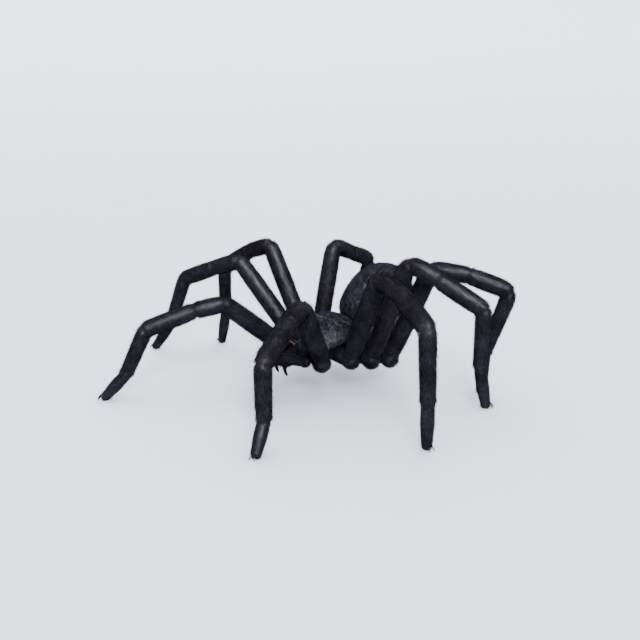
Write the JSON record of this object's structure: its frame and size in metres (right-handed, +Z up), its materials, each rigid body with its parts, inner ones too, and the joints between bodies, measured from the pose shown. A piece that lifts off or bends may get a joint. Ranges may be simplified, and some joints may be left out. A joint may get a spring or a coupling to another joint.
{
  "type": "tarantula",
  "caption": "Still life-size tarantula standing on its feet with legs arched high and the hind body raised, as a museum display model.",
  "frame": {"origin": "on the floor, under the middle of the box round the animal", "axes": "+X to the animal's left, +Y to its rear, +Z up"},
  "size_m": [0.148, 0.1268, 0.0521],
  "materials": {
    "coat": "matt to satin, short close hair, near black with a violet-blue cast",
    "shell": "satin, mottled, thinly haired",
    "horn": "gloss, almost black",
    "eye": "high gloss, amber"
  },
  "bodies": {
    "root": {"abdomen": "coat", "carapace": "shell", "chelicera_left": "coat", "chelicera_right": "coat", "eye_left_front_middle": "eye", "eye_left_front_outer": "eye", "eye_left_rear_middle": "eye", "eye_left_rear_outer": "eye", "eye_right_front_middle": "eye", "eye_right_front_outer": "eye", "eye_right_rear_middle": "eye", "eye_right_rear_outer": "eye", "fang_left": "horn", "fang_right": "horn", "leg_left_1_coxa": "coat", "leg_left_1_femur": "coat", "leg_left_1_foot": "coat", "leg_left_1_tibia": "coat", "leg_left_2_coxa": "coat", "leg_left_2_femur": "coat", "leg_left_2_foot": "coat", "leg_left_2_tibia": "coat", "leg_left_3_coxa": "coat", "leg_left_3_femur": "coat", "leg_left_3_foot": "coat", "leg_left_3_tibia": "coat", "leg_left_4_coxa": "coat", "leg_left_4_femur": "coat", "leg_left_4_foot": "coat", "leg_left_4_tibia": "coat", "leg_right_1_coxa": "coat", "leg_right_1_femur": "coat", "leg_right_1_foot": "coat", "leg_right_1_tibia": "coat", "leg_right_2_coxa": "coat", "leg_right_2_femur": "coat", "leg_right_2_foot": "coat", "leg_right_2_tibia": "coat", "leg_right_3_coxa": "coat", "leg_right_3_femur": "coat", "leg_right_3_foot": "coat", "leg_right_3_tibia": "coat", "leg_right_4_coxa": "coat", "leg_right_4_femur": "coat", "leg_right_4_foot": "coat", "leg_right_4_tibia": "coat", "palp_left_coxa": "coat", "palp_left_femur": "coat", "palp_left_tip": "coat", "palp_right_coxa": "coat", "palp_right_femur": "coat", "palp_right_tip": "coat", "pedicel": "coat", "spinneret_left": "coat", "spinneret_right": "coat", "sternum": "shell"}
  },
  "joints": []
}
